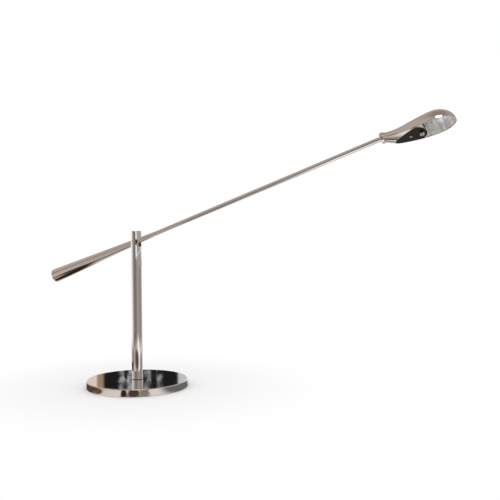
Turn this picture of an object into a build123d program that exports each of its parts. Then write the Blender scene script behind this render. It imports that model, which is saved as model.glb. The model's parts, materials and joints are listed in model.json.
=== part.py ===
from build123d import *
import math
import os

# A balance lamp: a round weighted base, an upright post that ends in a slotted fork, a long arm
# that rocks in the fork with a tapered steel weight at one end, and a teardrop lamp head that
# turns on the other end. Millimetres, +Z up. The origin is the centre of the underside, on the
# table, and the arm lies in the XZ plane with the head towards +X.

# ---- Base -------------------------------------------------------------------------------
BASE_DIAMETER = 203.0        # spun cover, 8 inches
BASE_HEIGHT = 15.0           # top of the cover above the table
COVER_WALL = 1.2
COVER_EDGE_RADIUS = 1.6      # outer edge round the top
COVER_LIFT = 0.6             # lower edge of the cover above the table
FELT_THICKNESS = 2.0
FELT_INSET = 1.5             # felt edge inside the cover's wall
WEIGHT_GAP = 0.3             # cast weight inside the cover's wall
RECESS_DIAMETER = 60.0       # hollow under the weight, round the swivel nut
WEB_THICKNESS = 3.4          # iron left above the hollow
LEAD_CHANNEL_WIDTH = 8.4     # from the hollow to the rim
LEAD_CHANNEL_ROOF = 1.9      # iron left above the channel
INLET_DIAMETER = 8.0         # body of the cord bushing, through the cover's rim
INLET_BORE = 5.6
INLET_FLANGE_DIAMETER = 10.4
INLET_FLANGE = 1.2
INLET_LENGTH = 9.0           # behind the flange
INLET_HEIGHT = 7.6

# ---- Swivel under the post ------------------------------------------------------------------
STUD_DIAMETER = 9.8          # hollow threaded stud
STUD_BORE = 6.0
STUD_IN_POST = 16.0
BUSH_DIAMETER = 14.0         # bronze bush in the weight
BUSH_FLANGE_DIAMETER = 20.0
BUSH_FLANGE = 1.0
WAVE_WASHER_DIAMETER = 18.0
WAVE_WASHER = 0.8
TAB_WASHER = 0.8
TAB_REACH = 16.0             # from the axis to the end of the tab
TAB_WIDTH = 5.0
NUT_ACROSS_FLATS = 14.0
NUT_THICKNESS = 3.0
STOP_PIN_DIAMETER = 4.0
STOP_PIN_REACH = 13.5        # from the axis to the pin
GLIDE_DIAMETER = 21.0        # nylon washer that the post turns on
GLIDE_THICKNESS = 0.8

# ---- Post and fork ---------------------------------------------------------------------------
POST_DIAMETER = 22.2         # 7/8 inch tube
POST_WALL = 1.6
FOOT_LENGTH = 18.0           # plug in the lower end of the tube
PIVOT_HEIGHT = 293.0         # arm pivot above the table
FORK_BELOW_PIVOT = 74.0      # shoulder that sits on the tube
FORK_ABOVE_PIVOT = 22.0      # tops of the two tines
FORK_SPIGOT = 15.0           # into the tube
FORK_EDGE = 0.7              # rounding of the tine tops
SEAM_CHAMFER = 0.3           # where the fork meets the tube, and at the tube's foot
SLOT_BELOW_PIVOT = 49.0      # lowest point of the slot
SLOT_END = 20.0              # height of the long round that ends it
LEAD_HOLE = 6.0              # from the slot down into the post

# ---- Arm ---------------------------------------------------------------------------------------
ARM_TILT = 19.3              # degrees above level, as the lamp stands
ROD_DIAMETER = 8.5
ROD_WALL = 1.0
NECK_DISTANCE = 543.5        # from the pivot to the start of the head
WEIGHT_LENGTH = 225.0        # from the pivot to the heavy end
WEIGHT_DIAMETER = 28.4       # at the heavy end
WEIGHT_EDGE = 1.6            # rounding of that end
WEIGHT_CROWN = 1.2           # bulge of the end face
TAPER_PAST_PIVOT = 52.0      # where the taper has come down to the rod
SPIGOT_LENGTH = 16.0         # of the weight, inside the rod
WIRE_BORE = 4.2              # through the spigot and the thin end of the taper
WIRE_BORE_END = 5.2          # distance from the pivot where it stops
WIRE_EXIT = 7.4              # distance from the pivot to the hole in the underside
GROMMET_DIAMETER = 4.6       # rubber sleeve in that hole
GROMMET_BORE = 3.2
GROMMET_TOP = 2.2            # its ends, below the arm's axis
GROMMET_END = 12.4
HUB_WIDTH = 10.4             # across the two flats at the pivot
HUB_FLAT_DIAMETER = 14.0

# ---- Pivot ----------------------------------------------------------------------------------------
PIVOT_SLEEVE_DIAMETER = 6.0  # barrel of the far nut, which the arm turns on
PIVOT_SCREW_DIAMETER = 4.0   # screwed into the barrel from the near side
PIVOT_SCREW_REACH = 8.0      # of its thread, past the near tine
PIVOT_HEAD_DIAMETER = 7.0
PIVOT_HEAD = 1.4
PIVOT_HEAD_CROWN = 0.7
PIVOT_SEAT_DEPTH = 0.6       # flat-bottomed seat cut into each tine
PIVOT_WASHER_DIAMETER = 11.0

# ---- Head swivel -----------------------------------------------------------------------------------
HEAD_ROLL = 16.0             # degrees that the open side is turned towards the user's side
NECK_DIAMETER = 19.6
NECK_LENGTH = 6.0
NECK_END_WALL = 1.4
NECK_ROUND = 1.3
NECK_BORE_WALL = 2.2
NECK_WASHER = 0.4
SLEEVE_FLANGE = 1.8
RING_THICKNESS = 0.8
RING_GROOVE = 0.8            # depth of the groove that holds the retaining ring

# ---- Hood ----------------------------------------------------------------------------------------
# Each row is one upright section: its distance from the start of the neck, its top and bottom
# against the arm's axis, and its half width. All are ellipses.
HOOD_SECTIONS = [
    (6.0, 8.8, -9.6, 9.2),
    (13.5, 6.4, -13.8, 10.0),
    (24.5, 5.2, -19.5, 11.8),
    (38.5, 5.0, -26.8, 15.5),
    (54.5, 5.9, -34.8, 21.3),
    (71.5, 7.1, -41.2, 26.0),
    (86.5, 7.9, -43.8, 28.2),
    (94.5, 8.0, -44.2, 28.6),
]
HOOD_NOSE = 34.5             # from the last section to the tip
NOSE_ANGLES = (18, 36, 52, 66, 77, 85)   # sections of the nose, in degrees of its quarter turn
HOOD_WALL = 0.8
RIM_DROP = 18.0              # open rim below the arm's axis
LINER_GAP = 0.3              # between the hood and what hugs it
LINER_WALL = 0.6
COVER_PLATE = 1.0            # black plate that closes the wiring space
COVER_PLATE_LIFT = 0.4       # its underside above the rim
PLATE_FRONT = 77.5           # foremost point of its rounded front edge
PLATE_FRONT_RADIUS = 28.0
BULKHEAD_SETBACK = 1.0       # curved wall behind that edge, between the wiring and the mouth

# ---- Lamp holder and bulb ------------------------------------------------------------------------
BULB_DROP = 8.0              # bulb axis below the arm's axis
BULB_DIAMETER = 11.0
BULB_LENGTH = 20.0
BULB_WALL = 0.9
FILAMENT_DIAMETER = 1.6      # coil across the capsule
FILAMENT_LENGTH = 5.0
FILAMENT_WIRE = 0.5
FILAMENT_REACH = 9.0         # from the capsule's inner end to the coil
BULB_HOLE = 14.0
PINCH_WIDTH = 9.0
PINCH_THICKNESS = 3.2
PINCH_LENGTH = 7.0
BULB_PIN_DIAMETER = 1.0
BULB_PIN_SPACING = 6.4
BULB_PIN_LENGTH = 6.0
HOLDER_WIDTH = 17.0
HOLDER_LENGTH = 19.0
HOLDER_TOP = 5.0             # above the bulb's axis
HOLDER_START = 55.0          # from the start of the neck
STRAP_WIDTH = 8.0
STRAP_WALL = 1.2
STRAP_START = 46.5
STRAP_BAR = 2.0              # its straight part, on the cover plate
TONGUE_WIDTH = 12.0          # of the strap, under the lamp holder
THUMB_SCREW_PLACE = 69.5     # from the start of the neck
THUMB_HEAD_DIAMETER = 8.0
THUMB_HEAD = 5.7
THUMB_SCREW_IN_HOLDER = 4.0
SMALL_SCREW_DIAMETER = 2.5
SMALL_HEAD_DIAMETER = 5.0
SMALL_HEAD = 1.2
SMALL_SCREW_LENGTH = 4.0

# ---- Wires ---------------------------------------------------------------------------------------
WIRE_DIAMETER = 1.4
WIRE_SPACING = 1.5           # between the two cores
WIRE_BEND = 5.0
WIRE_TIGHT_BEND = 3.0        # the turn inside the arm
LOOP_RISE = 15.0             # of the loop, straight up from the slot's floor
LOOP_DROP = 18.0             # of the loop, below the arm's axis

# ---- Clearances -----------------------------------------------------------------------------------
RUNNING_FIT = 0.05           # radial, where one turns in the other
PRESS_FIT = 0.02             # radial, where the two stay together
FACE_GAP = 0.05              # between faces that slide

# ---- Heights and radii that follow ------------------------------------------------------------
BASE_RADIUS = BASE_DIAMETER / 2
COVER_UNDERSIDE = BASE_HEIGHT - COVER_WALL
RECESS_ROOF = COVER_UNDERSIDE - WEB_THICKNESS
BUSH_FLANGE_BOTTOM = RECESS_ROOF - BUSH_FLANGE
WAVE_BOTTOM = BUSH_FLANGE_BOTTOM - WAVE_WASHER
TAB_BOTTOM = WAVE_BOTTOM - TAB_WASHER
NUT_BOTTOM = TAB_BOTTOM - NUT_THICKNESS
POST_BOTTOM = BASE_HEIGHT + GLIDE_THICKNESS
POST_BORE_RADIUS = POST_DIAMETER / 2 - POST_WALL
FORK_SHOULDER = PIVOT_HEIGHT - FORK_BELOW_PIVOT
FORK_TOP = PIVOT_HEIGHT + FORK_ABOVE_PIVOT
SLOT_WIDTH = 2 * POST_BORE_RADIUS            # leaves tines as thick as the tube's wall
SLOT_BOTTOM = PIVOT_HEIGHT - SLOT_BELOW_PIVOT
SEAT_PLANE = POST_DIAMETER / 2 - PIVOT_SEAT_DEPTH
ROD_BORE = ROD_DIAMETER - 2 * ROD_WALL
ROD_END = NECK_DISTANCE + NECK_LENGTH
PLATE_TOP = -RIM_DROP + COVER_PLATE_LIFT + COVER_PLATE
HOLDER_FACE = HOLDER_START + HOLDER_LENGTH
PINCH_START = HOLDER_FACE + FACE_GAP
GLASS_START = PINCH_START + PINCH_LENGTH - 1
PLATE_CENTRE = PLATE_FRONT - PLATE_FRONT_RADIUS
STRAP_SCREW_PLACE = STRAP_START + STRAP_WIDTH / 2
HOLDER_BOTTOM = PLATE_TOP + STRAP_BAR

# Places of the tilted arm and of the head on it
ARM_PLACE = Location((0, 0, PIVOT_HEIGHT), (0, -ARM_TILT, 0))
HEAD_PLACE = ARM_PLACE * Location((NECK_DISTANCE, 0, 0)) * Location((0, 0, 0), (-HEAD_ROLL, 0, 0))
ALONG_X = Plane((0, 0, 0), x_dir=(0, 1, 0), z_dir=(1, 0, 0))
ALONG_Y = Plane((0, 0, 0), x_dir=(1, 0, 0), z_dir=(0, 1, 0))

BOTTOM = (Align.CENTER, Align.CENTER, Align.MIN)


def rod(diameter, start, end):
    """Upright cylinder on the Z axis between two heights."""
    return Pos(0, 0, start) * Cylinder(diameter / 2, end - start, align=BOTTOM)


def rod_x(diameter, start, end):
    """Cylinder on the X axis between two distances."""
    return ALONG_X * rod(diameter, start, end)


def rod_y(diameter, start, end):
    """Cylinder on the Y axis between two distances."""
    return ALONG_Y * rod(diameter, start, end)


def block(x0, x1, y0, y1, z0, z1):
    """Box between two corners."""
    middle = Pos((x0 + x1) / 2, (y0 + y1) / 2, (z0 + z1) / 2)
    return middle * Box(x1 - x0, y1 - y0, z1 - z0)


def upright_ellipse(x, middle, half_width, half_height):
    """Ellipse square to the X axis, at one distance along it and one height."""
    plane = Plane((x, 0, middle), x_dir=(0, 1, 0), z_dir=(1, 0, 0))
    return plane * Ellipse(half_width, half_height)


def twin_wire(points, bends):
    """Two cores side by side along a route in the XZ plane."""
    print("wire bends:", bends or "none")
    route = FilletPolyline(*[(x, 0, z) for x, z in points], radius=bends) if bends else Line(
        (points[0][0], 0, points[0][1]), (points[1][0], 0, points[1][1]))
    section = Plane(route @ 0, z_dir=route % 0) * Circle(WIRE_DIAMETER / 2)
    core = sweep(section, path=route)
    return [Pos(0, side * WIRE_SPACING / 2, 0) * core for side in (-1, 1)]


# ---- Base pieces ----------------------------------------------------------------------------------

def base_cover():
    outer = rod(BASE_DIAMETER, COVER_LIFT, BASE_HEIGHT)
    outer = fillet(outer.edges().sort_by(Axis.Z)[-1], COVER_EDGE_RADIUS)
    hollow = rod(BASE_DIAMETER - 2 * COVER_WALL, 0, COVER_UNDERSIDE)
    centre_hole = rod(BUSH_DIAMETER + 2 * PRESS_FIT, 0, BASE_HEIGHT + 1)
    inlet = Pos(0, 0, INLET_HEIGHT) * rod_x(INLET_DIAMETER + 2 * PRESS_FIT, -BASE_RADIUS - 1, -BASE_RADIUS / 2)
    return outer - hollow - centre_hole - inlet


def base_weight():
    radius = BASE_RADIUS - COVER_WALL - WEIGHT_GAP
    disc = rod(2 * radius, FELT_THICKNESS, COVER_UNDERSIDE)
    disc = chamfer(disc.edges().sort_by(Axis.Z)[-1], COVER_WALL)
    recess = rod(RECESS_DIAMETER, 0, RECESS_ROOF)
    half = LEAD_CHANNEL_WIDTH / 2
    channel = block(-BASE_RADIUS, 0, -half, half, 0, COVER_UNDERSIDE - LEAD_CHANNEL_ROOF)
    bush_hole = rod(BUSH_DIAMETER + 2 * PRESS_FIT, 0, BASE_HEIGHT)
    return disc - recess - channel - bush_hole


def felt_pad():
    return rod(BASE_DIAMETER - 2 * COVER_WALL - 2 * FELT_INSET, 0, FELT_THICKNESS)


def cord_bushing():
    face = -BASE_RADIUS
    body = rod_x(INLET_DIAMETER, face, face + INLET_LENGTH)
    flange = rod_x(INLET_FLANGE_DIAMETER, face - INLET_FLANGE, face)
    flange = fillet(flange.edges().sort_by(Axis.X)[0], INLET_FLANGE / 2)
    bore = rod_x(INLET_BORE, face - 2 * INLET_FLANGE, face + 2 * INLET_LENGTH)
    return Pos(0, 0, INLET_HEIGHT) * (body + flange - bore)


def swivel_bush():
    body = rod(BUSH_DIAMETER, RECESS_ROOF, BASE_HEIGHT)
    flange = rod(BUSH_FLANGE_DIAMETER, BUSH_FLANGE_BOTTOM, RECESS_ROOF)
    return body + flange - rod(STUD_DIAMETER + 2 * RUNNING_FIT, 0, 2 * BASE_HEIGHT)


def glide_washer():
    ring = rod(GLIDE_DIAMETER, BASE_HEIGHT, POST_BOTTOM)
    return ring - rod(STUD_DIAMETER + 2 * RUNNING_FIT, 0, 2 * BASE_HEIGHT)


def stop_pin():
    """Hangs from the roof of the hollow, opposite the tab."""
    return Pos(0, STOP_PIN_REACH, 0) * rod(STOP_PIN_DIAMETER, TAB_BOTTOM, RECESS_ROOF)


# ---- Post pieces ----------------------------------------------------------------------------------

def swivel_stud():
    tube = rod(STUD_DIAMETER, NUT_BOTTOM, POST_BOTTOM + STUD_IN_POST)
    tube = chamfer(tube.edges(), (STUD_DIAMETER - STUD_BORE) / 8)
    return tube - rod(STUD_BORE, 0, POST_BOTTOM + 2 * STUD_IN_POST)


def wave_washer():
    ring = rod(WAVE_WASHER_DIAMETER, WAVE_BOTTOM, BUSH_FLANGE_BOTTOM)
    return ring - rod(STUD_DIAMETER + 2 * RUNNING_FIT, 0, BASE_HEIGHT)


def tab_washer():
    """Keyed to the stud. Its tab meets the stop pin before the wires are wound up."""
    ring = rod(WAVE_WASHER_DIAMETER, TAB_BOTTOM, WAVE_BOTTOM)
    half = TAB_WIDTH / 2
    tab = block(-half, half, -TAB_REACH, 0, TAB_BOTTOM, WAVE_BOTTOM)
    return ring + tab - rod(STUD_DIAMETER + 2 * PRESS_FIT, 0, BASE_HEIGHT)


def swivel_nut():
    hexagon = RegularPolygon(NUT_ACROSS_FLATS / 2, 6, major_radius=False)
    nut = Pos(0, 0, NUT_BOTTOM) * extrude(hexagon, NUT_THICKNESS)
    return nut - rod(STUD_DIAMETER + 2 * PRESS_FIT, 0, BASE_HEIGHT)


def post_foot():
    plug = rod(2 * (POST_BORE_RADIUS - PRESS_FIT), POST_BOTTOM, POST_BOTTOM + FOOT_LENGTH)
    return plug - rod(STUD_DIAMETER + 2 * PRESS_FIT, 0, POST_BOTTOM + 2 * FOOT_LENGTH)


def post_tube():
    tube = rod(POST_DIAMETER, POST_BOTTOM, FORK_SHOULDER)
    tube = chamfer(tube.edges().filter_by(GeomType.CIRCLE), SEAM_CHAMFER)
    return tube - rod(2 * POST_BORE_RADIUS, 0, FORK_TOP)


def fork():
    """Turned bar with a wide slot that ends in a long round, so that two thin tines stand."""
    body = rod(POST_DIAMETER, FORK_SHOULDER, FORK_TOP)
    body = fillet(body.edges().sort_by(Axis.Z)[-1], FORK_EDGE)
    body = chamfer(body.edges().sort_by(Axis.Z)[0], SEAM_CHAMFER)
    spigot = rod(2 * (POST_BORE_RADIUS - PRESS_FIT), FORK_SHOULDER - FORK_SPIGOT, FORK_SHOULDER)
    half = SLOT_WIDTH / 2
    reach = POST_DIAMETER
    straight = SLOT_BOTTOM + SLOT_END
    slot = block(-reach, reach, -half, half, straight, FORK_TOP + half)
    slot += extrude(upright_ellipse(0, straight, half, SLOT_END), reach, both=True)
    lead_hole = rod(LEAD_HOLE, 0, straight)
    pivot = Pos(0, 0, PIVOT_HEIGHT)
    near_hole = pivot * rod_y(PIVOT_SCREW_DIAMETER + 2 * PRESS_FIT, -reach, 0)
    far_hole = pivot * rod_y(PIVOT_SLEEVE_DIAMETER + 2 * PRESS_FIT, 0, reach)
    seat_diameter = PIVOT_HEAD_DIAMETER + 6 * RUNNING_FIT
    near_seat = pivot * rod_y(seat_diameter, -reach, -SEAT_PLANE)
    far_seat = pivot * rod_y(seat_diameter, SEAT_PLANE, reach)
    return body + spigot - slot - lead_hole - near_hole - far_hole - near_seat - far_seat


def pivot_head(side):
    """Low domed head of the screw or of its cap nut, seated in one tine."""
    disc = rod(PIVOT_HEAD_DIAMETER, SEAT_PLANE, SEAT_PLANE + PIVOT_HEAD)
    crown = PIVOT_HEAD_CROWN
    dome_radius = ((PIVOT_HEAD_DIAMETER / 2) ** 2 + crown ** 2) / (2 * crown)
    dome = Pos(0, 0, SEAT_PLANE + PIVOT_HEAD - dome_radius) * Sphere(dome_radius)
    head = ALONG_Y * (disc & dome)
    return Pos(0, 0, PIVOT_HEIGHT) * (head if side > 0 else mirror(head, Plane.XZ))


def pivot_screw():
    shank = rod_y(PIVOT_SCREW_DIAMETER, -SEAT_PLANE, PIVOT_SCREW_REACH - SLOT_WIDTH / 2)
    driver_slot = block(-PIVOT_HEAD_DIAMETER, PIVOT_HEAD_DIAMETER,
                        -SEAT_PLANE - 2 * PIVOT_HEAD, -SEAT_PLANE - PIVOT_HEAD / 2,
                        -0.4, 0.4)
    return pivot_head(-1) + Pos(0, 0, PIVOT_HEIGHT) * shank - Pos(0, 0, PIVOT_HEIGHT) * driver_slot


def pivot_nut():
    """Barrel nut. Its barrel reaches from the far seat to the near tine's inner face."""
    start = PRESS_FIT - SLOT_WIDTH / 2
    barrel = rod_y(PIVOT_SLEEVE_DIAMETER, start, SEAT_PLANE)
    thread = rod_y(PIVOT_SCREW_DIAMETER + 2 * PRESS_FIT, start, start + PIVOT_SCREW_REACH)
    return pivot_head(1) + Pos(0, 0, PIVOT_HEIGHT) * barrel - Pos(0, 0, PIVOT_HEIGHT) * thread


def pivot_washers():
    """Nylon spacers that fill the slot on each side of the arm."""
    start = HUB_WIDTH / 2 + FACE_GAP
    ring = rod_y(PIVOT_WASHER_DIAMETER, start, SLOT_WIDTH / 2)
    ring -= rod_y(PIVOT_SLEEVE_DIAMETER + 2 * PRESS_FIT, 0, SLOT_WIDTH)
    ring = Pos(0, 0, PIVOT_HEIGHT) * ring
    return [ring, mirror(ring, Plane.XZ)]


# ---- Arm pieces, level, with the pivot at the origin -----------------------------------------------

def taper_radius(x):
    """Radius of the tapered weight at a distance from the pivot."""
    share = (TAPER_PAST_PIVOT - x) / (TAPER_PAST_PIVOT + WEIGHT_LENGTH)
    return ROD_DIAMETER / 2 + (WEIGHT_DIAMETER - ROD_DIAMETER) / 2 * share


def counterweight():
    """Turned steel taper, with a spigot for the rod, a cross hole and two flats for the pivot."""
    end = -WEIGHT_LENGTH
    shoulder = end + WEIGHT_CROWN
    side = [
        Line((end + WEIGHT_CROWN, WEIGHT_DIAMETER / 2), (TAPER_PAST_PIVOT, ROD_DIAMETER / 2)),
        Line((TAPER_PAST_PIVOT, ROD_DIAMETER / 2), (TAPER_PAST_PIVOT, ROD_BORE / 2 - PRESS_FIT)),
        Line((TAPER_PAST_PIVOT, ROD_BORE / 2 - PRESS_FIT),
             (TAPER_PAST_PIVOT + SPIGOT_LENGTH, ROD_BORE / 2 - PRESS_FIT)),
        Line((TAPER_PAST_PIVOT + SPIGOT_LENGTH, ROD_BORE / 2 - PRESS_FIT),
             (TAPER_PAST_PIVOT + SPIGOT_LENGTH, 0)),
        Line((TAPER_PAST_PIVOT + SPIGOT_LENGTH, 0), (end, 0)),
        ThreePointArc((end, 0), (end + WEIGHT_CROWN / 4, WEIGHT_DIAMETER / 4), (shoulder, WEIGHT_DIAMETER / 2)),
    ]
    profile = make_face(side)
    profile = fillet(profile.vertices().sort_by(Axis.Y)[-1], WEIGHT_EDGE)
    body = revolve(profile, Axis.X)
    wire_bore = rod_x(WIRE_BORE, WIRE_BORE_END, TAPER_PAST_PIVOT + 2 * SPIGOT_LENGTH)
    exit_hole = Pos(WIRE_EXIT, 0, 0) * rod(GROMMET_DIAMETER + 2 * PRESS_FIT, -WEIGHT_DIAMETER, 0)
    pivot_hole = rod_y(PIVOT_SLEEVE_DIAMETER + 2 * RUNNING_FIT, -WEIGHT_DIAMETER, WEIGHT_DIAMETER)
    flat = rod_y(HUB_FLAT_DIAMETER, HUB_WIDTH / 2, WEIGHT_DIAMETER)
    return body - wire_bore - exit_hole - pivot_hole - flat - mirror(flat, Plane.XZ)


def lead_grommet():
    """Rubber sleeve that keeps the wires off the edge of the hole in the arm."""
    sleeve = rod(GROMMET_DIAMETER, -GROMMET_END, -GROMMET_TOP)
    sleeve = fillet(sleeve.edges().sort_by(Axis.Z)[0], (GROMMET_DIAMETER - GROMMET_BORE) / 4)
    sleeve -= rod(GROMMET_BORE, -2 * GROMMET_END, 0)
    return Pos(WIRE_EXIT, 0, 0) * sleeve


def arm_rod():
    tube = rod_x(ROD_DIAMETER, TAPER_PAST_PIVOT, ROD_END)
    return tube - rod_x(ROD_BORE, 0, 2 * ROD_END)


def neck_places():
    """Distances from the start of the neck to the faces stacked inside it."""
    washer = NECK_END_WALL
    sleeve = washer + NECK_WASHER + FACE_GAP
    ring = sleeve + SLEEVE_FLANGE + FACE_GAP
    return washer, sleeve, ring


def neck_sleeve():
    """Brass flange fixed to the end of the rod, trapped in the neck."""
    washer, sleeve, ring = neck_places()
    start = NECK_DISTANCE + sleeve
    bore_radius = NECK_DIAMETER / 2 - NECK_BORE_WALL
    flange = rod_x(2 * (bore_radius - RUNNING_FIT), start, start + SLEEVE_FLANGE)
    return flange - rod_x(ROD_DIAMETER + 2 * PRESS_FIT, 0, 2 * ROD_END)


# ---- Head pieces, level, with the start of the neck at the origin --------------------------------------

def neck_cup():
    cup = rod_x(NECK_DIAMETER, 0, NECK_LENGTH)
    cup = fillet(cup.edges().sort_by(Axis.X)[0], NECK_ROUND)
    washer, sleeve, ring = neck_places()
    bore_radius = NECK_DIAMETER / 2 - NECK_BORE_WALL
    cup -= rod_x(ROD_DIAMETER + 2 * RUNNING_FIT, -1, NECK_LENGTH)
    cup -= rod_x(2 * bore_radius, NECK_END_WALL, 2 * NECK_LENGTH)
    return cup - rod_x(2 * (bore_radius + RING_GROOVE), ring, ring + RING_THICKNESS)


def neck_washer():
    bore_radius = NECK_DIAMETER / 2 - NECK_BORE_WALL
    washer, sleeve, ring = neck_places()
    disc = rod_x(2 * (bore_radius - RUNNING_FIT), washer, washer + NECK_WASHER)
    return disc - rod_x(ROD_DIAMETER + 2 * RUNNING_FIT, -1, NECK_LENGTH)


def retaining_ring():
    """Sprung ring in the neck's groove, with the gap that lets it close."""
    bore_radius = NECK_DIAMETER / 2 - NECK_BORE_WALL
    washer, sleeve, ring = neck_places()
    outer = bore_radius + RING_GROOVE - PRESS_FIT
    inner = bore_radius - 2 * RING_GROOVE
    circle = rod_x(2 * outer, ring, ring + RING_THICKNESS) - rod_x(2 * inner, 0, 2 * NECK_LENGTH)
    return circle - block(0, 2 * NECK_LENGTH, -2, 2, -2 * outer, 0)


def teardrop(inset):
    """Closed teardrop lofted through ellipses. The nose is half an ellipsoid."""
    sections = []
    for x, top, bottom, half_width in HOOD_SECTIONS:
        sections.append(upright_ellipse(x, (top + bottom) / 2, half_width - inset, (top - bottom) / 2 - inset))
    x, top, bottom, half_width = HOOD_SECTIONS[-1]
    middle = (top + bottom) / 2
    half_height = (top - bottom) / 2 - inset
    nose = HOOD_NOSE - inset
    for degrees in NOSE_ANGLES:
        reach = nose * math.sin(math.radians(degrees))
        share = math.cos(math.radians(degrees))
        sections.append(upright_ellipse(x + reach, middle, share * (half_width - inset), share * half_height))
    sections.append(Vertex(x + nose, 0, middle))
    return loft(sections)


def above(height):
    """Space over a level, as large as the hood needs."""
    reach = 2 * (HOOD_SECTIONS[-1][0] + HOOD_NOSE)
    return block(-reach, reach, -reach, reach, height, reach)


def between(x0, x1):
    """Slice of space between two distances along the head."""
    reach = 2 * (HOOD_SECTIONS[-1][0] + HOOD_NOSE)
    return block(x0, x1, -reach, reach, -reach, reach)


def hood():
    """Pressed teardrop shell: open along its underside and at the neck."""
    return (teardrop(0) - teardrop(HOOD_WALL)) & above(-RIM_DROP)


def drum(radius):
    """Upright cylinder through the head, as wide as the cover plate's rounded front."""
    return Pos(PLATE_CENTRE, 0, 0) * rod(2 * radius, -3 * RIM_DROP, 3 * RIM_DROP)


def liner():
    """Bright bowl inside the mouth, with a curved bulkhead that has a hole for the bulb."""
    inset = HOOD_WALL + LINER_GAP
    far = HOOD_SECTIONS[-1][0] + HOOD_NOSE
    radius = PLATE_FRONT_RADIUS - BULKHEAD_SETBACK
    outer = teardrop(inset) & between(PLATE_CENTRE, far)
    bowl = outer - teardrop(inset + LINER_WALL) - drum(radius - LINER_WALL)
    bulkhead = outer & (drum(radius) - drum(radius - LINER_WALL))
    bulb_hole = Pos(0, 0, -BULB_DROP) * rod_x(BULB_HOLE, HOLDER_FACE, GLASS_START)
    return (bowl + bulkhead - bulb_hole) & above(PLATE_TOP)


def cover_plate():
    """Black plate with a rounded front, over the wiring space."""
    bottom = -RIM_DROP + COVER_PLATE_LIFT
    reach = PLATE_CENTRE + PLATE_FRONT
    front = drum(PLATE_FRONT_RADIUS) + block(-reach, PLATE_CENTRE, -reach, reach, 3 * bottom, reach)
    plate = teardrop(HOOD_WALL + LINER_GAP) & front & above(bottom)
    plate -= above(PLATE_TOP)
    for x in (STRAP_SCREW_PLACE, THUMB_SCREW_PLACE):
        plate -= Pos(x, 0, 0) * rod(SMALL_SCREW_DIAMETER + 4 * RUNNING_FIT, 2 * bottom, 0)
    return plate


def strap():
    """Steel band that hugs the crown, with a straight bar and a tongue on the cover plate."""
    slice_ = between(STRAP_START, STRAP_START + STRAP_WIDTH)
    outer = teardrop(HOOD_WALL + LINER_GAP) & slice_ & above(PLATE_TOP)
    inner = teardrop(HOOD_WALL + LINER_GAP + STRAP_WALL) & above(HOLDER_BOTTOM)
    half = TONGUE_WIDTH / 2
    tongue = block(STRAP_SCREW_PLACE, HOLDER_FACE - 1, -half, half, PLATE_TOP, HOLDER_BOTTOM)
    band = outer - inner + tongue
    for x in (STRAP_SCREW_PLACE, THUMB_SCREW_PLACE):
        band -= Pos(x, 0, 0) * rod(SMALL_SCREW_DIAMETER + 2 * PRESS_FIT, -2 * RIM_DROP, -BULB_DROP)
    return band


def strap_screw():
    """Pan-head screw that holds the cover plate to the strap."""
    seat = -RIM_DROP + COVER_PLATE_LIFT
    head = rod(SMALL_HEAD_DIAMETER, seat - SMALL_HEAD, seat)
    head = fillet(head.edges().sort_by(Axis.Z)[0], SMALL_HEAD / 2)
    shank = rod(SMALL_SCREW_DIAMETER, seat, seat + SMALL_SCREW_LENGTH)
    return Pos(STRAP_SCREW_PLACE, 0, 0) * (head + shank)


def thumb_screw():
    """Turned by hand. It clamps the plate and the strap's tongue to the lamp holder."""
    seat = -RIM_DROP + COVER_PLATE_LIFT
    head = rod(THUMB_HEAD_DIAMETER, seat - THUMB_HEAD, seat)
    head = fillet(head.edges().sort_by(Axis.Z)[0], THUMB_HEAD / 4)
    shank = rod(SMALL_SCREW_DIAMETER, seat, HOLDER_BOTTOM + THUMB_SCREW_IN_HOLDER)
    return Pos(THUMB_SCREW_PLACE, 0, 0) * (head + shank)


def lamp_holder():
    """Ceramic two-pin holder on the strap's tongue."""
    half = HOLDER_WIDTH / 2
    top = -BULB_DROP + HOLDER_TOP
    body = block(HOLDER_START, HOLDER_FACE, -half, half, HOLDER_BOTTOM, top)
    body = chamfer(body.edges().filter_by(Axis.X), 1.0)
    for side in (-1, 1):
        hole = rod_x(BULB_PIN_DIAMETER + 4 * RUNNING_FIT, HOLDER_FACE - BULB_PIN_LENGTH - 1, HOLDER_FACE + 1)
        body -= Pos(0, side * BULB_PIN_SPACING / 2, -BULB_DROP) * hole
    screw_hole = rod(SMALL_SCREW_DIAMETER + 2 * PRESS_FIT, -2 * RIM_DROP,
                     HOLDER_BOTTOM + THUMB_SCREW_IN_HOLDER + PRESS_FIT)
    return body - Pos(THUMB_SCREW_PLACE, 0, 0) * screw_hole


def bulb():
    """Hollow quartz capsule with a flat pinch."""
    radius = BULB_DIAMETER / 2
    glass = rod_x(BULB_DIAMETER, GLASS_START, GLASS_START + BULB_LENGTH)
    glass = fillet(glass.edges().sort_by(Axis.X)[-1], radius * 0.9)
    glass = fillet(glass.edges().filter_by(GeomType.CIRCLE).sort_by(Axis.X)[0], radius * 0.35)
    pinch = block(PINCH_START, GLASS_START + BULB_WALL, -PINCH_WIDTH / 2, PINCH_WIDTH / 2,
                  -PINCH_THICKNESS / 2, PINCH_THICKNESS / 2)
    inner = radius - BULB_WALL
    hollow = rod_x(2 * inner, GLASS_START + BULB_WALL, GLASS_START + BULB_LENGTH - BULB_WALL)
    hollow = fillet(hollow.edges().sort_by(Axis.X)[-1], inner * 0.9)
    return Pos(0, 0, -BULB_DROP) * (glass + pinch - hollow)


def bulb_pins():
    pin = rod_x(BULB_PIN_DIAMETER, PINCH_START - BULB_PIN_LENGTH, PINCH_START)
    return [Pos(0, side * BULB_PIN_SPACING / 2, -BULB_DROP) * pin for side in (-1, 1)]


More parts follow.
